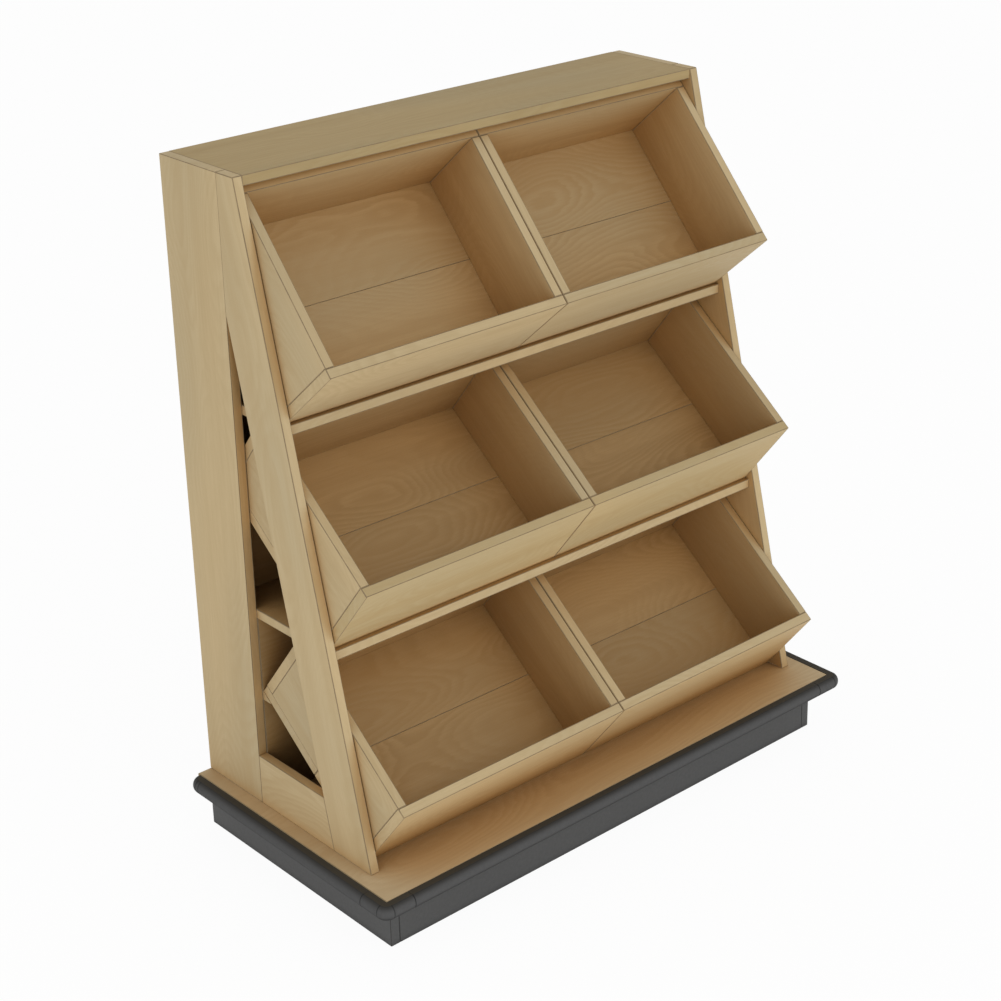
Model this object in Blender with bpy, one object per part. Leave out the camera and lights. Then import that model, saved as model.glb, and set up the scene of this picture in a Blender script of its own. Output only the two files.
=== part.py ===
"""Wine crate display: a dark plinth with a bumper, two leaning side frames, shelves and six tilted crates.

Metres, +Z up, front towards -Y. The origin is on the floor, at the centre of the footprint.
"""
import math

import bmesh
import bpy
from mathutils import Matrix, Vector

# Sheet thicknesses
BOARD = 0.019
DECK_THICKNESS = 0.028
KICK_THICKNESS = 0.019

# Clearances
JOINT_GAP = 0.0003
CRATE_SIDE_ROOM = 0.0015
CRATE_HEAD_ROOM = 0.004

# Crates, and how far each row leans back
CRATE_WIDTH = 0.5355
CRATE_DEPTH = 0.375
CRATE_HEIGHT = 0.1865
LOWER_TILT = math.radians(38.5)
TOP_TILT = math.radians(49.0)

# How far the resting edges stand back from what is in front of them
SHELF_SETBACK = 0.012
CRATE_SETBACK = 0.010
DECK_CRATE_SETBACK = 0.0395
CRATE_REAR_ROOM = 0.0012
UPPER_PANEL_INSET = 0.0321

# Side frames
FRONT_LEAN = math.radians(13.0)
BACK_STILE_WIDTH = 0.172
FRONT_STILE_WIDTH = 0.105
BOTTOM_RAIL_HEIGHT = 0.1015

# Plinth
DECK_FRONT_MARGIN = 0.0813
DECK_SIDE_MARGIN = 0.030
KICK_HEIGHT = 0.0933
KICK_INSET = 0.0265

# Bumper
BUMPER_PROJECTION = 0.023
BUMPER_FLAT = 0.012
BUMPER_CORNER_LEG = 0.047
NOSE_STEPS = 14
TURN_STEPS = 10

# Heights
DECK_TOP = KICK_HEIGHT + JOINT_GAP + DECK_THICKNESS
FRAME_FOOT = DECK_TOP + JOINT_GAP


def crate_rise(tilt):
    """Height of a tilted crate, from its resting edge to its highest edge."""
    return CRATE_DEPTH * math.sin(tilt) + CRATE_HEIGHT * math.cos(tilt)


def row_height(tilt):
    """Height of one row, from what its crates rest on to the top of the board above them."""
    return JOINT_GAP + crate_rise(tilt) + CRATE_HEAD_ROOM + BOARD


MIDDLE_SHELF_TOP = DECK_TOP + row_height(LOWER_TILT)
UPPER_SHELF_TOP = MIDDLE_SHELF_TOP + row_height(LOWER_TILT)
FRAME_TOP = UPPER_SHELF_TOP + row_height(TOP_TILT)

# Depths, measured forwards from the back face of the display
SLOPE = math.tan(FRONT_LEAN)
UPPER_CRATE_EDGE = UPPER_PANEL_INSET + BOARD + CRATE_REAR_ROOM + CRATE_DEPTH * math.cos(TOP_TILT)
FOOT_DEPTH = UPPER_CRATE_EDGE + CRATE_SETBACK + SHELF_SETBACK + SLOPE * (UPPER_SHELF_TOP - FRAME_FOOT)
DECK_DEPTH = FOOT_DEPTH + DECK_FRONT_MARGIN
KICK_FRONT = DECK_DEPTH - KICK_INSET
BACK_Y = (DECK_DEPTH + JOINT_GAP + BUMPER_PROJECTION) / 2


def frame_depth(z):
    """Depth of a side frame at height z."""
    return FOOT_DEPTH - SLOPE * (z - FRAME_FOOT)


def shelf_depth(top):
    """Depth of the front edge of the shelf whose top is at this height."""
    return frame_depth(top) - SHELF_SETBACK


# Half widths
INNER_HALF = CRATE_WIDTH + 1.5 * CRATE_SIDE_ROOM
PANEL_HALF = INNER_HALF - JOINT_GAP
FRAME_HALF = INNER_HALF + BOARD
DECK_HALF = FRAME_HALF + DECK_SIDE_MARGIN
KICK_HALF = DECK_HALF - KICK_INSET

for old in list(bpy.data.objects):
    bpy.data.objects.remove(old, do_unlink=True)

display = bpy.data.collections.new("wine_crate_display")
bpy.context.scene.collection.children.link(display)


def principled(name, colour, roughness):
    """A plain non-metallic surface."""
    made = bpy.data.materials.new(name)
    made.use_nodes = True
    shader = made.node_tree.nodes["Principled BSDF"]
    shader.inputs["Base Color"].default_value = (*colour, 1.0)
    shader.inputs["Roughness"].default_value = roughness
    shader.inputs["Metallic"].default_value = 0.0
    made.diffuse_color = (*colour, 1.0)
    return made


OAK = principled("light_oak", (0.48, 0.37, 0.22), 0.55)
LAMINATE = principled("charcoal_laminate", (0.085, 0.085, 0.08), 0.6)
VINYL = principled("charcoal_vinyl", (0.07, 0.07, 0.068), 0.5)


def add_mesh(name, shape, material):
    """Turns a finished bmesh into a named object of the display."""
    bmesh.ops.recalc_face_normals(shape, faces=shape.faces)
    mesh = bpy.data.meshes.new(name)
    shape.to_mesh(mesh)
    shape.free()
    mesh.materials.append(material)
    part = bpy.data.objects.new(name, mesh)
    display.objects.link(part)
    return part


def board(name, x, y, z, material=OAK):
    """A square-edged board between two limits on each axis."""
    low = Vector((x[0], y[0], z[0]))
    high = Vector((x[1], y[1], z[1]))
    shape = bmesh.new()
    bmesh.ops.create_cube(shape, size=1.0)
    bmesh.ops.scale(shape, vec=high - low, verts=shape.verts)
    bmesh.ops.translate(shape, vec=(low + high) / 2, verts=shape.verts)
    return add_mesh(name, shape, material)


def span(front, back):
    """Limits along Y between two depths from the back face."""
    return BACK_Y - front, BACK_Y - back


def prism(name, outline, x):
    """A board cut to an outline of (depth, height) corners, between two limits along X."""
    curve = bpy.data.curves.new(name, "CURVE")
    curve.dimensions = "2D"
    curve.fill_mode = "BOTH"
    curve.extrude = (x[1] - x[0]) / 2
    line = curve.splines.new("POLY")
    line.points.add(len(outline) - 1)
    for point, (depth, height) in zip(line.points, outline):
        point.co = (BACK_Y - depth, height, 0.0, 1.0)
    line.use_cyclic_u = True
    flat = bpy.data.objects.new(name + "_outline", curve)
    display.objects.link(flat)
    mesh = bpy.data.meshes.new_from_object(flat.evaluated_get(bpy.context.evaluated_depsgraph_get()))
    bpy.data.objects.remove(flat, do_unlink=True)
    shape = bmesh.new()
    shape.from_mesh(mesh)
    bpy.data.meshes.remove(mesh)
    bmesh.ops.remove_doubles(shape, verts=shape.verts, dist=0.00001)
    upright = Matrix.Rotation(math.pi / 2, 4, "Z") @ Matrix.Rotation(math.pi / 2, 4, "X")
    bmesh.ops.transform(shape, matrix=upright, verts=shape.verts)
    bmesh.ops.translate(shape, vec=((x[0] + x[1]) / 2, 0, 0), verts=shape.verts)
    return add_mesh(name, shape, OAK)


def mirrored(limits, side):
    """Limits along X on the left (-1) or the right (+1)."""
    return tuple(sorted(side * limit for limit in limits))


def build_plinth():
    """Three kick boards under a deck, open at the back."""
    top = (DECK_TOP - DECK_THICKNESS, DECK_TOP)
    board("deck_panel", (-DECK_HALF, DECK_HALF), span(DECK_DEPTH, 0), top)
    upright = (0, KICK_HEIGHT)
    inner = KICK_HALF - KICK_THICKNESS
    between = (JOINT_GAP - inner, inner - JOINT_GAP)
    board("kick_front", between, span(KICK_FRONT, KICK_FRONT - KICK_THICKNESS), upright, LAMINATE)
    for name, side in (("left", -1), ("right", 1)):
        board(f"kick_{name}", mirrored((inner, KICK_HALF), side), span(KICK_FRONT, 0), upright, LAMINATE)


def bumper_outline():
    """The bumper's section, as (distance out from the deck's edge, height) corners."""
    nose = BUMPER_PROJECTION - BUMPER_FLAT
    half = DECK_THICKNESS / 2
    middle = DECK_TOP - half
    corners = [(0, middle + half)]
    for step in range(NOSE_STEPS + 1):
        angle = math.pi / 2 - math.pi * step / NOSE_STEPS
        corners.append((BUMPER_FLAT + nose * math.cos(angle), middle + half * math.sin(angle)))
    corners.append((0, middle - half))
    return corners


def bumper(name, start, outward, lead, turn=False, trail=0.0, side=-1):
    """A bumper run from a start point, drawn for the left and mirrored for the right.

    The section goes straight for the lead, can turn a rounded corner, and goes straight for the trail.
    """
    shape = bmesh.new()
    out = Vector((*outward, 0))
    clockwise = Matrix.Rotation(-math.pi / 2, 3, "Z")
    corners = [shape.verts.new((*(Vector(start) + out.xy * far), height)) for far, height in bumper_outline()]
    face = shape.faces.new(corners)

    def straight(face, step):
        moved = bmesh.ops.extrude_face_region(shape, geom=[face, *face.edges, *face.verts])["geom"]
        bmesh.ops.translate(shape, vec=step, verts=[v for v in moved if isinstance(v, bmesh.types.BMVert)])
        return next(f for f in moved if isinstance(f, bmesh.types.BMFace))

    along = clockwise @ out
    face = straight(face, along * lead)
    if turn:
        pivot = Vector((*start, 0)) + along * lead
        spun = bmesh.ops.spin(shape, geom=[face, *face.edges, *face.verts], cent=pivot, axis=(0, 0, 1),
                              angle=-math.pi / 2, steps=TURN_STEPS)
        face = next(f for f in spun["geom_last"] if isinstance(f, bmesh.types.BMFace))
        if trail:
            straight(face, clockwise @ along * trail)
    bmesh.ops.remove_doubles(shape, verts=shape.verts, dist=0.00001)
    if side > 0:
        bmesh.ops.scale(shape, vec=(-1, 1, 1), verts=shape.verts)
    return add_mesh(name, shape, VINYL)


def build_bumper():
    """A front run, two moulded corners and two side runs with rounded rear ends, held to the deck's edge."""
    edge_x = -DECK_HALF - JOINT_GAP
    edge_y = BACK_Y - DECK_DEPTH - JOINT_GAP
    leg_end = -DECK_HALF + BUMPER_CORNER_LEG
    side_start = edge_y + JOINT_GAP + BUMPER_CORNER_LEG + JOINT_GAP
    front, left = (0, -1), (-1, 0)
    bumper("bumper_front", (-leg_end - JOINT_GAP, edge_y), front, 2 * (-leg_end - JOINT_GAP))
    for name, side in (("left", -1), ("right", 1)):
        bumper(f"bumper_corner_{name}", (leg_end, edge_y), front, leg_end - edge_x, True,
               side_start - JOINT_GAP - edge_y, side)
        side_run = BACK_Y - BUMPER_PROJECTION - side_start
        bumper(f"bumper_{name}", (edge_x, side_start), left, side_run, True, 0, side)


def build_frames():
    """Two side frames, each of an upright back stile, a leaning front stile and a bottom rail."""
    stile_depth = FRONT_STILE_WIDTH / math.cos(FRONT_LEAN)
    inner_foot = FOOT_DEPTH - stile_depth
    seam = BACK_STILE_WIDTH + JOINT_GAP
    apex = FRAME_FOOT + (inner_foot - seam) / SLOPE
    rail_top = FRAME_FOOT + BOTTOM_RAIL_HEIGHT
    front_stile = [(FOOT_DEPTH, FRAME_FOOT), (inner_foot, FRAME_FOOT), (seam, apex), (seam, FRAME_TOP),
                   (frame_depth(FRAME_TOP), FRAME_TOP)]
    rail_foot = inner_foot - JOINT_GAP / math.cos(FRONT_LEAN)
    bottom_rail = [(rail_foot, FRAME_FOOT), (seam, FRAME_FOOT), (seam, rail_top),
                   (rail_foot - SLOPE * BOTTOM_RAIL_HEIGHT, rail_top)]
    for name, side in (("left", -1), ("right", 1)):
        x = mirrored((INNER_HALF, FRAME_HALF), side)
        board(f"{name}_back_stile", x, span(BACK_STILE_WIDTH, 0), (FRAME_FOOT, FRAME_TOP))
        prism(f"{name}_front_stile", front_stile, x)
        prism(f"{name}_bottom_rail", bottom_rail, x)


def build_panels():
    """The top and the two shelves, between the side frames."""
    across = (-PANEL_HALF, PANEL_HALF)
    board("top_panel", across, span(frame_depth(FRAME_TOP), 0), (FRAME_TOP - BOARD, FRAME_TOP))
    for name, top in (("middle", MIDDLE_SHELF_TOP), ("upper", UPPER_SHELF_TOP)):
        board(f"{name}_shelf", across, span(shelf_depth(top), 0), (top - BOARD, top))


def build_crate(name, x, depth, rest, tilt):
    """A crate of six boards; its resting edge is its front bottom edge, at this depth and height."""
    middle = bpy.data.objects.new(name, None)
    middle.location = ((x[0] + x[1]) / 2, BACK_Y - depth, rest)
    middle.rotation_euler = (tilt, 0, 0)
    display.objects.link(middle)
    half = CRATE_WIDTH / 2
    wide = (-half, half)
    bottom = (0, BOARD)
    above_bottom = (BOARD + JOINT_GAP, CRATE_HEIGHT)
    behind_front = BOARD + JOINT_GAP
    seam = CRATE_DEPTH / 2
    boards = [
        board(f"{name}_front", wide, (0, BOARD), (0, CRATE_HEIGHT)),
        board(f"{name}_back", wide, (CRATE_DEPTH - BOARD, CRATE_DEPTH), above_bottom),
        board(f"{name}_bottom_front", wide, (behind_front, seam - JOINT_GAP / 2), bottom),
        board(f"{name}_bottom_back", wide, (seam + JOINT_GAP / 2, CRATE_DEPTH), bottom),
    ]
    for end, side in (("left", -1), ("right", 1)):
        sides = mirrored((half - BOARD, half), side)
        boards.append(board(f"{name}_{end}", sides, (behind_front, CRATE_DEPTH - behind_front), above_bottom))
    for piece in boards:
        piece.parent = middle


def build_row(name, depth, floor, ceiling, tilt):
    """Two crates side by side, the panel behind them and the bevelled rail under their back edge."""
    rest = floor + JOINT_GAP
    room = CRATE_SIDE_ROOM / 2
    build_crate(f"{name}_left_crate", (-CRATE_WIDTH - room, -room), depth, rest, tilt)
    build_crate(f"{name}_right_crate", (room, CRATE_WIDTH + room), depth, rest, tilt)
    across = (-PANEL_HALF, PANEL_HALF)
    back_edge = depth - CRATE_DEPTH * math.cos(tilt)
    panel_front = back_edge - CRATE_REAR_ROOM
    board(f"{name}_back_panel", across, span(panel_front, panel_front - BOARD), (rest, ceiling - JOINT_GAP))
    rail_top = rest + CRATE_DEPTH * math.sin(tilt) - JOINT_GAP / math.cos(tilt)
    rail_foot = rail_top - BOARD
    tip = back_edge + BOARD / math.tan(tilt)
    rear = panel_front + JOINT_GAP
    prism(f"{name}_crate_rail", [(tip, rail_foot), (rear, rail_foot), (rear, rail_top), (back_edge, rail_top)],
          across)


build_plinth()
build_bumper()
build_frames()
build_panels()
build_row("bottom", FOOT_DEPTH - DECK_CRATE_SETBACK, DECK_TOP, MIDDLE_SHELF_TOP - BOARD, LOWER_TILT)
build_row("middle", shelf_depth(MIDDLE_SHELF_TOP) - CRATE_SETBACK, MIDDLE_SHELF_TOP, UPPER_SHELF_TOP - BOARD,
          LOWER_TILT)
build_row("upper", shelf_depth(UPPER_SHELF_TOP) - CRATE_SETBACK, UPPER_SHELF_TOP, FRAME_TOP - BOARD, TOP_TILT)
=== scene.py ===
"""Looks of the wine crate display: oak veneer, charcoal plinth, a pale floor, soft light and the camera."""
import math
from collections import namedtuple
from fnmatch import fnmatch

import bpy
from mathutils import Matrix, Vector


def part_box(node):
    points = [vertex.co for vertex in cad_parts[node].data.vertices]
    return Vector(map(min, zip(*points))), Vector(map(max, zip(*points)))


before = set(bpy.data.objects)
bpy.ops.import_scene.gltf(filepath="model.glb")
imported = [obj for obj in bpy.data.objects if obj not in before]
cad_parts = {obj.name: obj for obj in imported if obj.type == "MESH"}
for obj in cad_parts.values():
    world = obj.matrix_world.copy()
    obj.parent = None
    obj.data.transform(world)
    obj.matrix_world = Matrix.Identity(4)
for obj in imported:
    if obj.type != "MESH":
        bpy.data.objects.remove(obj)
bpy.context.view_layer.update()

# Camera, in the part's own metres
CAMERA_PLACE = Vector((-2.49872, -2.84249, 2.33726))
CAMERA_LOOK = Vector((0.620228, 0.691471, -0.370384))
CAMERA_ROLL = math.radians(-1.0107)
CAMERA_LENS = 77.5308
CAMERA_SENSOR = 36.0
CAMERA_SHIFT = (-0.04052, -0.10293)

# Oak veneer, linear colours
OAK_LIGHT = (0.50, 0.385, 0.218)
OAK_DARK = (0.40, 0.295, 0.155)
OAK_GREY = (0.44, 0.355, 0.215)
OAK_ARRIS = (0.23, 0.172, 0.10)
# Paler edge colour in joints, painted light that lifts their shade
PAINTED_JOINT_LIGHT = (0.42, 0.315, 0.185)
# Painted shade: the veneer turns warmer and darker in recesses, and darker still in the deepest places, by
# how closed in they are
PAINTED_RECESS_SHADE = (0.94, 0.70, 0.445)
PAINTED_DEEP_SHADE = (0.55, 0.55, 0.60)

# Boards made paler (above 0) or darker (below 0) than the rest: partly painted light and shade for how lit
# each board is, partly the board's own tone
BOARD_LIGHT_AND_TONE = {
    # Painted shade: the top panel darker, as its upper face gets less light from above
    "top_panel": -0.18,
    "deck_panel": 0.09,
    "bottom_back_panel": -0.14,
    "*_bottom_rail": 0.08,
    "*_stile": 0.05,
    "upper_*_crate_back": 0.08,
    "upper_*_crate_right": 0.09,
    "upper_*_crate_bottom_*": 0.07,
    "middle_*_crate_right": 0.05,
    "middle_*_crate_back": -0.05,
    "middle_right_crate_bottom_front": -0.06,
    "bottom_left_crate_right": -0.05,
    "bottom_*_crate_front": 0.07,
}

# Boards of a stronger (above 1) or a weaker colour than the rest
BOARD_WARMTH = {"top_panel": 1.12, "deck_panel": 0.89, "middle_*_crate_front": 1.08}

# Boards whose figure shows more (above 1) or less than on the rest
BOARD_FIGURE = {
    "*_crate_bottom_*": 1.2,
    "*_crate_front": 0.7,
    "*_crate_back": 0.5,
    "*_crate_left": 0.6,
    "*_crate_right": 0.45,
    "*_stile": 0.6,
    "top_panel": 0.6,
}

# The usual tone, the small steps by which boards differ, and the move along the veneer from board to board
TONE = 1.005
TONE_SPREAD = 0.03
TONE_STEPS = 11
TONE_STRIDE = 7
VENEER_MOVE = (0.37, 0.83, 0.59)

# Charcoal, linear colours
LAMINATE_LIGHT = (0.112, 0.112, 0.111)
LAMINATE_DARK = (0.089, 0.089, 0.088)
VINYL_LIGHT = (0.092, 0.092, 0.092)
VINYL_DARK = (0.075, 0.075, 0.075)
# Painted shade on the top of the bumper's nose
PAINTED_NOSE_SHADE = (0.044, 0.043, 0.041)
# Dark brown of the bumper's flat top strip, also the dust on charcoal edges
TOP_STRIP_AND_DUST = (0.050, 0.044, 0.034)
# Near-black of seams, parting lines and edges, also the painted shade under the bumper and at its foot
SEAM_AND_SHADE = (0.016, 0.016, 0.016)
KICK_EDGE = (0.056, 0.056, 0.055)

# A layer of noise: its features per metre along X, Y and Z, its detail and roughness,
# the values between which it comes in, and how much of it shows at those two values
Layer = namedtuple("Layer", "features detail roughness limits shares", defaults=((0.0, 1.0), (0.0, 1.0)))

# Layers of the veneer, whose grain runs along X
FIGURE = Layer((2.4, 6.5, 6.5), 0.5, 0.4)
RAGGED = Layer((14.0, 90.0, 90.0), 2.0, 0.5)
PATCHES = Layer((1.7, 9.0, 9.0), 2.0, 0.5, (0.38, 0.62), (0.16, 0.52))
CLOUDS = Layer((1.4, 5.0, 5.0), 1.0, 0.5, (0.3, 0.7))
BANDS = Layer((0.9, 26.0, 26.0), 2.0, 0.5, (0.40, 0.72), (0.0, 0.42))
FIBRES = Layer((9.0, 420.0, 420.0), 3.0, 0.6, (0.35, 0.75), (0.0, 0.30))
PORES = Layer((70.0, 1500.0, 1500.0), 1.0, 0.5, (0.62, 0.72))

# Layers of the other surfaces
WEAR = Layer((30.0, 30.0, 30.0), 3.0, 0.6, (0.4, 0.7), (0.0, 0.35))
DUST = Layer((240.0, 240.0, 240.0), 2.0, 0.5, (0.4, 0.7), (0.0, 0.4))
MOTTLE = Layer((160.0, 160.0, 160.0), 2.0, 0.5)
LAMINATE_PEBBLES = Layer((900.0, 900.0, 900.0), 2.0, 0.6)
VINYL_PEBBLES = Layer((1400.0, 1400.0, 1400.0), 2.0, 0.6)

# Growth rings: how many the figure draws, how ragged they are and where in a ring the line is darkest
RINGS = 30.0
RING_RAGGEDNESS = 0.9
RING_CREST = 0.75

# What pores and fibres do to the colour and the height
PORE_SHARE = 0.22
PORE_DEPTH = 0.6
FIBRE_HEIGHT = 0.4

# Charcoal mottle: how its two layers add up, and the sums between which it goes from dark to light
MOTTLE_SHARE = 0.4
PEBBLE_SHARE = 0.6
MOTTLE_LIMITS = (0.3, 0.7)

# Roughness and how far a pattern adds to it, gloss, and bump
WOOD_ROUGHNESS = (0.46, 0.2)
ARRIS_ROUGHNESS = (0.5, 0.2)
LAMINATE_ROUGHNESS = (0.55, 0.12)
VINYL_ROUGHNESS = (0.6, 0.12)
CHARCOAL_EDGE_ROUGHNESS = (0.55, 0.2)
WOOD_GLOSS = 0.06
LAMINATE_GLOSS = 0.12
VINYL_GLOSS = 0.05
CHARCOAL_EDGE_GLOSS = 0.06
WOOD_BUMP = {"Strength": 0.25, "Distance": 0.0003}
CHARCOAL_BUMP = {"Strength": 0.2, "Distance": 0.0002}

# Shelter, from 0 in a closed place to 1 in the open, which sets where painted shade and painted light go: how
# far it looks, and where it starts and ends to show
SHELTER_SAMPLES = 8
RECESS_REACH = 0.35
RECESS_LIMITS = (0.15, 0.95)
DEEP_LIMITS = (0.04, 0.24)
ARRIS_REACH = 0.005
ARRIS_LIMITS = (0.6, 0.95)
KICK_REACH = 0.03
KICK_LIMITS = (0.35, 0.75)
KICK_SHADE = 0.6

# The bumper: its projection and flat top strip, its moulded ends and their parting lines, and the painted
# shade towards the top and the foot of its nose
BUMPER_PROJECTION = 0.023
BUMPER_FLAT = 0.0135
BUMPER_END = 0.032
BUMPER_FOOT = 0.0125
FOOT_SHADE = 0.85
STRIP_DEPTHS = (0.0016, 0.0008)
STRIP_BLUR = 0.0005
CROWN_START = 0.003
CROWN_OVERRUN = 0.0015
PARTING_WIDTH = 0.0032
PARTING_SHADE = 0.6
GROOVE_WIDTH = 0.0022
GROOVE_SHADE = 0.3

# Softened edges of the boards
ARRIS_WIDTH = 0.0015
ARRIS_SEGMENTS = 2
ARRIS_ANGLE = math.radians(30)
WELD_DISTANCE = 0.00002
END_TOLERANCE = 0.001

# The floor, and how much of it shows as plain white
FLOOR_SIZE = 60.0
FLOOR_GREY = 0.86
FLOOR_ROUGHNESS = 0.9
FLOOR_WHITE = 0.95

# Light: the room's strength, and each softbox's place, aim, size in metres and power in watts
ROOM = 0.74
SOFTBOXES = {
    "left_softbox": ((-3.6, -0.2, 1.2), (0.0, 0.0, 0.7), (3.4, 2.4), 21.5),
    "front_softbox": ((0.2, -3.4, 3.0), (0.0, 0.0, 0.7), (3.0, 1.5), 24.5),
    "low_softbox": ((0.0, -3.2, 0.4), (0.0, 0.0, 0.4), (3.0, 0.6), 7.0),
    "floor_panel": ((-0.2, -1.6, 0.03), (-0.2, -1.6, 1.0), (3.6, 2.3), 20.0),
}


def add_node(tree, kind, settings=None, inputs=None):
    """Adds a shader node; an input is a value or the socket that feeds it."""
    made = tree.nodes.new(kind)
    for name, value in (settings or {}).items():
        setattr(made, name, value)
    for name, value in (inputs or {}).items():
        if isinstance(value, bpy.types.NodeSocket):
            tree.links.new(value, made.inputs[name])
        else:
            made.inputs[name].default_value = value
    return made


def calculate(tree, operation, first, second=0.0):
    """Output of a math node on two numbers or sockets."""
    return add_node(tree, "ShaderNodeMath", {"operation": operation}, {0: first, 1: second}).outputs[0]


def vary(tree, base, pattern, spread):
    """A base value plus a pattern times a spread."""
    return calculate(tree, "ADD", base, calculate(tree, "MULTIPLY", pattern, spread))


def fade(tree, value, limits, shares=(0.0, 1.0)):
    """A smooth step of a value between two limits."""
    step = add_node(tree, "ShaderNodeMapRange", {"interpolation_type": "SMOOTHSTEP"},
                    {"Value": value, "From Min": limits[0], "From Max": limits[1],
                     "To Min": shares[0], "To Max": shares[1]})
    return step.outputs["Result"]


def mark(tree, distance, width):
    """One on a plane, fading to nothing half a width away from it."""
    half = width / 2
    return fade(tree, calculate(tree, "ABSOLUTE", distance), (half / 2, half), (1.0, 0.0))


def noise(tree, vector, layer):
    """A layer's noise on a vector."""
    scaled = add_node(tree, "ShaderNodeVectorMath", {"operation": "MULTIPLY"}, {0: vector, 1: layer.features})
    made = add_node(tree, "ShaderNodeTexNoise", None,
                    {"Vector": scaled.outputs[0], "Scale": 1.0, "Detail": layer.detail,
                     "Roughness": layer.roughness})
    return made.outputs["Fac"]


def show(tree, value, layer):
    """How much of a layer shows at a value of its noise."""
    return fade(tree, value, layer.limits, layer.shares)


def shelter(tree, reach):
    """One in the open, less where other surfaces stand within reach."""
    made = add_node(tree, "ShaderNodeAmbientOcclusion", {"samples": SHELTER_SAMPLES}, {"Distance": reach})
    return made.outputs["AO"]


def seen(tree):
    """One for what the camera sees, straight or in a gloss, and zero for what only lights the part."""
    path = add_node(tree, "ShaderNodeLightPath")
    bent = calculate(tree, "MAXIMUM", path.outputs["Is Glossy Ray"], path.outputs["Is Transmission Ray"])
    return calculate(tree, "MAXIMUM", path.outputs["Is Camera Ray"], bent)


def blend_colours(tree, amount, first, second, mode="MIX"):
    """Output of a colour mix."""
    mix = add_node(tree, "ShaderNodeMix", {"data_type": "RGBA", "blend_type": mode})
    sockets = [s for s in mix.inputs if s.enabled]
    for socket, value in zip(sockets, (amount, first, second)):
        if isinstance(value, bpy.types.NodeSocket):
            tree.links.new(value, socket)
        elif isinstance(value, tuple):
            socket.default_value = (*value, 1.0)
        else:
            socket.default_value = value
    return next(s for s in mix.outputs if s.enabled)


def veneer_group():
    """Plain sliced oak: X runs along the grain, Y across it."""
    tree = bpy.data.node_groups.new("oak_veneer", "ShaderNodeTree")
    tree.interface.new_socket("Vector", in_out="INPUT", socket_type="NodeSocketVector")
    for name in ("Tone", "Warmth", "Figure"):
        tree.interface.new_socket(name, in_out="INPUT", socket_type="NodeSocketFloat")
    tree.interface.new_socket("Color", in_out="OUTPUT", socket_type="NodeSocketColor")
    for name in ("Roughness", "Height"):
        tree.interface.new_socket(name, in_out="OUTPUT", socket_type="NodeSocketFloat")
    source = add_node(tree, "NodeGroupInput")
    vector = source.outputs["Vector"]

    ragged = calculate(tree, "MULTIPLY", noise(tree, vector, RAGGED), RING_RAGGEDNESS)
    ring = calculate(tree, "FRACT", vary(tree, ragged, noise(tree, vector, FIGURE), RINGS))
    rise = fade(tree, ring, (0.0, RING_CREST))
    fall = fade(tree, ring, (RING_CREST, 1.0), (1.0, 0.0))
    line = calculate(tree, "MULTIPLY", rise, fall)
    patches = show(tree, noise(tree, vector, PATCHES), PATCHES)
    clear = calculate(tree, "MULTIPLY", patches, source.outputs["Figure"])
    clouds = show(tree, noise(tree, vector, CLOUDS), CLOUDS)
    bands = show(tree, noise(tree, vector, BANDS), BANDS)
    fibre = noise(tree, vector, FIBRES)
    pores = show(tree, noise(tree, vector, PORES), PORES)

    colour = blend_colours(tree, clouds, OAK_LIGHT, OAK_GREY)
    colour = blend_colours(tree, calculate(tree, "MULTIPLY", line, clear), colour, OAK_DARK)
    colour = blend_colours(tree, bands, colour, OAK_DARK)
    colour = blend_colours(tree, show(tree, fibre, FIBRES), colour, OAK_DARK)
    colour = blend_colours(tree, calculate(tree, "MULTIPLY", pores, PORE_SHARE), colour, OAK_DARK)
    toned = add_node(tree, "ShaderNodeHueSaturation", None,
                     {"Value": source.outputs["Tone"], "Saturation": source.outputs["Warmth"],
                      "Color": colour})

    base, spread = WOOD_ROUGHNESS
    height = vary(tree, calculate(tree, "MULTIPLY", fibre, FIBRE_HEIGHT), pores, -PORE_DEPTH)
    add_node(tree, "NodeGroupOutput", None,
             {"Color": toned.outputs["Color"], "Roughness": vary(tree, base, fibre, spread),
              "Height": height})
    return tree


VENEER = veneer_group()


def new_material(name):
    """An empty node material with its tree, its shader and the part's own coordinates in metres."""
    made = bpy.data.materials.new(name)
    made.use_nodes = True
    tree = made.node_tree
    place = add_node(tree, "ShaderNodeTexCoord").outputs["Object"]
    return made, tree, tree.nodes["Principled BSDF"], place


def dress_shader(tree, shader, colour, roughness, gloss, normal=None):
    """Feeds a shader's colour, roughness and normal, and sets its gloss."""
    tree.links.new(colour, shader.inputs["Base Color"])
    tree.links.new(roughness, shader.inputs["Roughness"])
    if normal:
        tree.links.new(normal, shader.inputs["Normal"])
    shader.inputs["Specular IOR Level"].default_value = gloss


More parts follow.
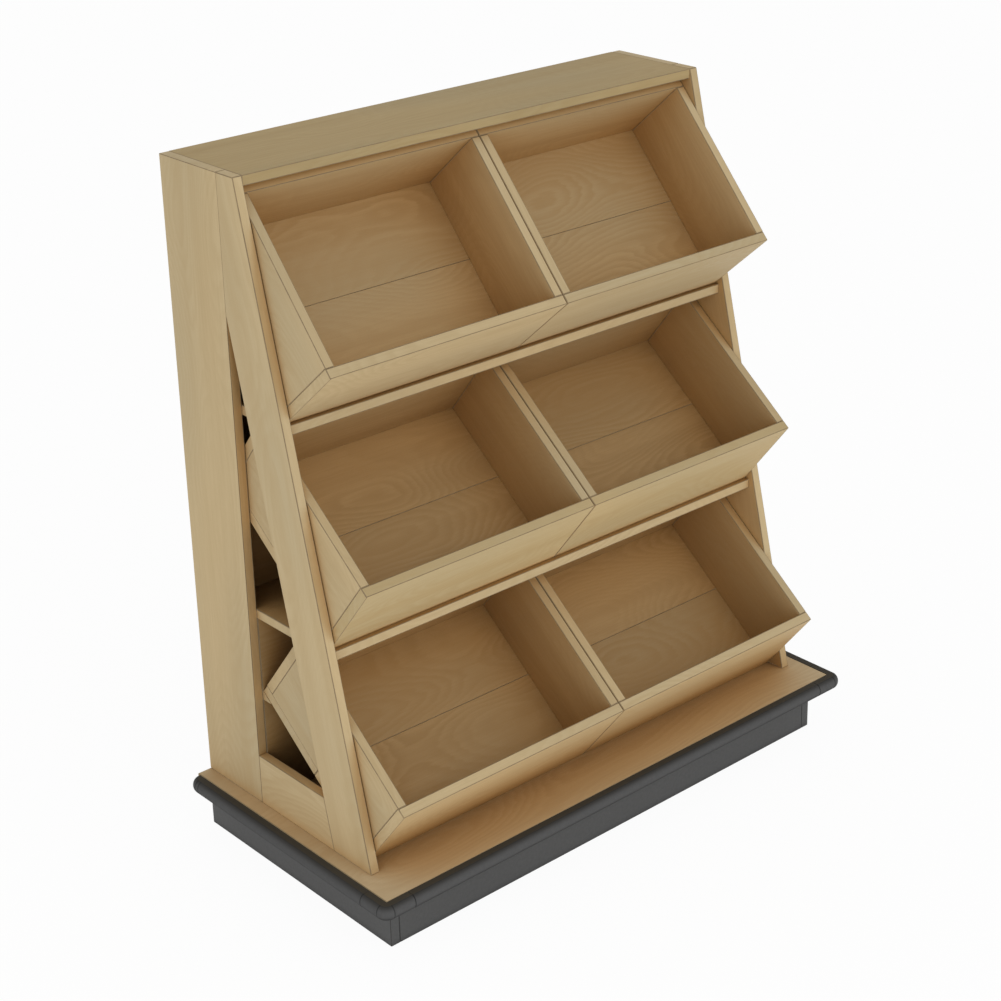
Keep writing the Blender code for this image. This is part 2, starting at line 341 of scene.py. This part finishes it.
def wood_material(name, turn, shift, tone, warmth, figure):
    """Veneer with its grain along X after a turn, moved along so that no two boards match."""
    made, tree, shader, place = new_material(name)
    mapped = add_node(tree, "ShaderNodeMapping", None,
                      {"Vector": place, "Location": shift, "Rotation": turn.to_euler("XYZ")})
    wood = add_node(tree, "ShaderNodeGroup", {"node_tree": VENEER},
                    {"Vector": mapped.outputs[0], "Tone": tone, "Warmth": warmth, "Figure": figure})
    bump = add_node(tree, "ShaderNodeBump", None, {"Height": wood.outputs["Height"], **WOOD_BUMP})
    # Painted shade, warm in recesses and dark in the deepest places, by how closed in each point is
    open_sky = shelter(tree, RECESS_REACH)
    recess = fade(tree, open_sky, RECESS_LIMITS, (1.0, 0.0))
    colour = blend_colours(tree, recess, wood.outputs["Color"], PAINTED_RECESS_SHADE, "MULTIPLY")
    deep = fade(tree, open_sky, DEEP_LIMITS, (1.0, 0.0))
    colour = blend_colours(tree, deep, colour, PAINTED_DEEP_SHADE, "MULTIPLY")
    dress_shader(tree, shader, colour, wood.outputs["Roughness"], WOOD_GLOSS, bump.outputs["Normal"])
    return made


def arris_material():
    """Board edges: dark in the open, and paler down in a joint, where the paler colour is painted light that
    lifts the joint's shade.
    """
    made, tree, shader, place = new_material("oak_arris")
    wear = noise(tree, place, WEAR)
    # Painted light: a joint's edges go paler than open edges, lifting the joint's shade
    open_edge = fade(tree, shelter(tree, ARRIS_REACH), ARRIS_LIMITS)
    worn = blend_colours(tree, show(tree, wear, WEAR), OAK_ARRIS, OAK_DARK)
    colour = blend_colours(tree, open_edge, PAINTED_JOINT_LIGHT, worn)
    base, spread = ARRIS_ROUGHNESS
    dress_shader(tree, shader, colour, vary(tree, base, wear, spread), WOOD_GLOSS)
    return made


def charcoal_surface(tree, place, light, dark, pebbles):
    """Colour, bump normal and mottle of a matt charcoal surface with a pebbled skin."""
    mottle = noise(tree, place, MOTTLE)
    pebble = noise(tree, place, pebbles)
    amount = vary(tree, calculate(tree, "MULTIPLY", mottle, MOTTLE_SHARE), pebble, PEBBLE_SHARE)
    colour = blend_colours(tree, fade(tree, amount, MOTTLE_LIMITS), dark, light)
    bump = add_node(tree, "ShaderNodeBump", None, {"Height": pebble, **CHARCOAL_BUMP})
    return colour, bump.outputs["Normal"], mottle


def laminate_material():
    """Matt charcoal laminate, with painted shade close under the bumper."""
    made, tree, shader, place = new_material("charcoal_laminate_grain")
    colour, normal, mottle = charcoal_surface(tree, place, LAMINATE_LIGHT, LAMINATE_DARK, LAMINATE_PEBBLES)
    # Painted shade: the laminate goes darker close under the bumper
    shade = fade(tree, shelter(tree, KICK_REACH), KICK_LIMITS, (KICK_SHADE, 0.0))
    colour = blend_colours(tree, shade, colour, SEAM_AND_SHADE)
    base, spread = LAMINATE_ROUGHNESS
    dress_shader(tree, shader, colour, vary(tree, base, mottle, spread), LAMINATE_GLOSS, normal)
    return made


def bumper_distances(tree, axes):
    """How far a point is past the deck's sides, front and rear, and past the ends of the bumper's runs."""
    low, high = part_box("deck_panel")
    across = calculate(tree, "ABSOLUTE", axes.outputs["X"])
    along = axes.outputs["Y"]
    return {
        "side": calculate(tree, "SUBTRACT", across, high.x),
        "front": calculate(tree, "SUBTRACT", low.y, along),
        "rear": calculate(tree, "SUBTRACT", along, high.y - BUMPER_PROJECTION),
        "front_run": calculate(tree, "SUBTRACT", across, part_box("bumper_front")[1].x),
        "side_run": calculate(tree, "SUBTRACT", along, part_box("bumper_left")[0].y),
        "end": calculate(tree, "SUBTRACT", along, high.y - BUMPER_END),
    }


def bumper_reach(tree, past):
    """How far a point stands out from the deck's edge, round the corners as well."""
    out_x = calculate(tree, "MAXIMUM", past["side"], 0.0)
    out_y = calculate(tree, "MAXIMUM", calculate(tree, "MAXIMUM", past["front"], past["rear"]), 0.0)
    square_x = calculate(tree, "POWER", out_x, 2.0)
    square_y = calculate(tree, "POWER", out_y, 2.0)
    return calculate(tree, "SQRT", calculate(tree, "ADD", square_x, square_y))


def bumper_partings(tree, past, reach):
    """The parting lines of the moulded corners and ends."""
    on_front = calculate(tree, "GREATER_THAN", past["front"], BUMPER_FLAT)
    on_side = calculate(tree, "GREATER_THAN", past["side"], BUMPER_FLAT)
    on_nose = calculate(tree, "GREATER_THAN", reach, BUMPER_FLAT)
    places = {"side": on_nose, "front": on_nose, "front_run": on_front, "side_run": on_side,
              "end": on_side, "rear": on_side}
    partings = 0.0
    for name, place in places.items():
        line = calculate(tree, "MULTIPLY", mark(tree, past[name], PARTING_WIDTH), place)
        partings = calculate(tree, "MAXIMUM", partings, line)
    return partings


def bumper_material():
    """Charcoal vinyl nose with a darker flat strip on top, the parting lines of its moulded ends, and painted
    shade on the nose's top and foot.
    """
    made, tree, shader, place = new_material("charcoal_vinyl_grain")
    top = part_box("deck_panel")[1].z
    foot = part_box("bumper_front")[0].z
    axes = add_node(tree, "ShaderNodeSeparateXYZ", None, {"Vector": place})
    past = bumper_distances(tree, axes)
    reach = bumper_reach(tree, past)
    on_top = fade(tree, axes.outputs["Z"], (top - STRIP_DEPTHS[0], top - STRIP_DEPTHS[1]))
    on_strip = fade(tree, reach, (BUMPER_FLAT - STRIP_BLUR, BUMPER_FLAT + STRIP_BLUR), (1.0, 0.0))
    strip = calculate(tree, "MULTIPLY", on_top, on_strip)
    past_groove = calculate(tree, "SUBTRACT", reach, BUMPER_FLAT + GROOVE_WIDTH / 2)
    groove = calculate(tree, "MULTIPLY", mark(tree, past_groove, GROOVE_WIDTH), GROOVE_SHADE)
    partings = calculate(tree, "MULTIPLY", bumper_partings(tree, past, reach), PARTING_SHADE)
    # Painted shade: the nose goes darker towards its top, and darker still at its foot
    nose_lit_share = fade(tree, reach, (BUMPER_FLAT + CROWN_START, BUMPER_PROJECTION + CROWN_OVERRUN))
    low_shade = fade(tree, axes.outputs["Z"], (foot, foot + BUMPER_FOOT), (FOOT_SHADE, 0.0))

    colour, normal, mottle = charcoal_surface(tree, place, VINYL_LIGHT, VINYL_DARK, VINYL_PEBBLES)
    colour = blend_colours(tree, nose_lit_share, PAINTED_NOSE_SHADE, colour)
    colour = blend_colours(tree, low_shade, colour, SEAM_AND_SHADE)
    colour = blend_colours(tree, strip, colour, TOP_STRIP_AND_DUST)
    colour = blend_colours(tree, groove, colour, SEAM_AND_SHADE)
    colour = blend_colours(tree, partings, colour, SEAM_AND_SHADE)
    base, spread = VINYL_ROUGHNESS
    dress_shader(tree, shader, colour, vary(tree, base, mottle, spread), VINYL_GLOSS, normal)
    return made


def charcoal_edge_material(name, edge):
    """The darker, dusty edges of charcoal pieces."""
    made, tree, shader, place = new_material(name)
    dust = noise(tree, place, DUST)
    colour = blend_colours(tree, show(tree, dust, DUST), edge, TOP_STRIP_AND_DUST)
    base, spread = CHARCOAL_EDGE_ROUGHNESS
    dress_shader(tree, shader, colour, vary(tree, base, dust, spread), CHARCOAL_EDGE_GLOSS)
    return made


ARRIS = arris_material()
LAMINATE = laminate_material()
VINYL = bumper_material()
VINYL_ARRIS = charcoal_edge_material("charcoal_vinyl_edge", SEAM_AND_SHADE)
LAMINATE_ARRIS = charcoal_edge_material("charcoal_laminate_edge", KICK_EDGE)

# Turns that bring each grain direction onto X
ALONG_X = Matrix.Identity(3)
ALONG_Y = Matrix.Rotation(-math.pi / 2, 3, "Z")
ALONG_Z = Matrix.Rotation(math.pi / 2, 3, "Y")


def corners(node):
    """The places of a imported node's corners."""
    return [v.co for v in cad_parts[node].data.vertices]


def crate_tilt(crate):
    """How far a crate leans back, from the corners of its front board."""
    points = corners(f"{crate}_front")
    lowest = min(points, key=lambda p: p.z)
    foremost = min(points, key=lambda p: p.y)
    return math.atan2(lowest.y - foremost.y, foremost.z - lowest.z)


def stile_lean(node):
    """How far a front stile leans back, from the front corners of its two ends."""
    low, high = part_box(node)
    points = corners(node)
    foot = min((p for p in points if p.z < low.z + END_TOLERANCE), key=lambda p: p.y)
    head = min((p for p in points if p.z > high.z - END_TOLERANCE), key=lambda p: p.y)
    return math.atan2(head.y - foot.y, head.z - foot.z)


def grain_turn(node):
    """The turn that lays a board's grain along X."""
    if "_crate_" in node and not node.endswith("_rail"):
        crate = node[:node.index("_crate_") + len("_crate")]
        upright = Matrix.Rotation(-crate_tilt(crate), 3, "X")
        return (ALONG_Y if node.endswith(("_left", "_right")) else ALONG_X) @ upright
    if node.endswith("_front_stile"):
        return ALONG_Z @ Matrix.Rotation(stile_lean(node), 3, "X")
    if node.endswith("_back_stile"):
        return ALONG_Z
    if node.endswith("_bottom_rail"):
        return ALONG_Y
    return ALONG_X


def look_up(table, node, usual):
    """The value of the first name in a table that fits a node, or else the usual one."""
    return next((value for names, value in table.items() if fnmatch(node, names)), usual)


def board_material(node, index):
    """A board's own veneer."""
    shift = tuple(move * index for move in VENEER_MOVE)
    step = TONE_SPREAD * ((index * TONE_STRIDE) % TONE_STEPS) / (TONE_STEPS - 1)
    # The usual tone and a small step, plus the board's painted light and shade
    tone = TONE + step + look_up(BOARD_LIGHT_AND_TONE, node, 0.0)
    warmth = look_up(BOARD_WARMTH, node, 1.0)
    figure = look_up(BOARD_FIGURE, node, 1.0)
    return wood_material(f"oak_{node}", grain_turn(node), shift, tone, warmth, figure)


def add_modifier(part, kind, **settings):
    """Adds a modifier with these settings."""
    made = part.modifiers.new(kind.title(), kind)
    for name, value in settings.items():
        setattr(made, name, value)


def dress_nodes():
    """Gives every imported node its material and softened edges."""
    for index, node in enumerate(sorted(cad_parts)):
        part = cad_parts[node]
        if node.startswith("bumper"):
            face, edge = VINYL, VINYL_ARRIS
        elif node.startswith("kick"):
            face, edge = LAMINATE, LAMINATE_ARRIS
        else:
            face, edge = board_material(node, index), ARRIS
        slots = part.data.materials
        slots.clear()
        slots.append(face)
        slots.append(edge)
        add_modifier(part, "WELD", merge_threshold=WELD_DISTANCE)
        add_modifier(part, "BEVEL", width=ARRIS_WIDTH, segments=ARRIS_SEGMENTS, limit_method="ANGLE",
                     angle_limit=ARRIS_ANGLE, material=1)
        add_modifier(part, "WEIGHTED_NORMAL")


def build_floor():
    """A pale floor that shows white to the camera and keeps the shadow."""
    bpy.ops.mesh.primitive_plane_add(size=FLOOR_SIZE)
    floor = bpy.context.object
    floor.name = "floor"
    made = bpy.data.materials.new("pale_floor")
    made.use_nodes = True
    tree = made.node_tree
    shader = tree.nodes["Principled BSDF"]
    shader.inputs["Base Color"].default_value = (FLOOR_GREY, FLOOR_GREY, FLOOR_GREY, 1.0)
    shader.inputs["Roughness"].default_value = FLOOR_ROUGHNESS
    shader.inputs["Specular IOR Level"].default_value = 0.0
    white = add_node(tree, "ShaderNodeEmission", None, {"Color": (1.0, 1.0, 1.0, 1.0), "Strength": 1.0})
    amount = calculate(tree, "MULTIPLY", seen(tree), FLOOR_WHITE)
    mixed = add_node(tree, "ShaderNodeMixShader", None,
                     {0: amount, 1: shader.outputs[0], 2: white.outputs[0]})
    tree.links.new(mixed.outputs[0], tree.nodes["Material Output"].inputs["Surface"])
    floor.data.materials.append(made)


def build_softbox(name, place, aim, size, power):
    """A large soft lamp."""
    lamp = bpy.data.lights.new(name, "AREA")
    lamp.shape = "RECTANGLE"
    lamp.size, lamp.size_y = size
    lamp.energy = power
    made = bpy.data.objects.new(name, lamp)
    made.location = place
    made.rotation_euler = (Vector(aim) - Vector(place)).to_track_quat("-Z", "Y").to_euler()
    made.visible_camera = False
    bpy.context.scene.collection.objects.link(made)


def build_light():
    """An even room that shows white, softboxes from the left and the front, and a panel on the floor."""
    world = bpy.data.worlds.new("studio")
    world.use_nodes = True
    tree = world.node_tree
    background = tree.nodes["Background"]
    background.inputs["Color"].default_value = (1.0, 1.0, 1.0, 1.0)
    tree.links.new(vary(tree, ROOM, seen(tree), 1.0 - ROOM), background.inputs["Strength"])
    bpy.context.scene.world = world
    for name, settings in SOFTBOXES.items():
        build_softbox(name, *settings)


def build_camera():
    """The photograph's view."""
    data = bpy.data.cameras.new("camera")
    data.lens = CAMERA_LENS
    data.sensor_width = CAMERA_SENSOR
    data.shift_x, data.shift_y = CAMERA_SHIFT
    camera = bpy.data.objects.new("camera", data)
    camera.location = CAMERA_PLACE
    camera.rotation_mode = "QUATERNION"
    level = CAMERA_LOOK.to_track_quat("-Z", "Y").to_matrix()
    camera.rotation_quaternion = (level @ Matrix.Rotation(CAMERA_ROLL, 3, "Z")).to_quaternion()
    bpy.context.scene.collection.objects.link(camera)
    bpy.context.scene.camera = camera


dress_nodes()
build_floor()
build_light()
build_camera()
bpy.context.scene.view_settings.view_transform = "Standard"
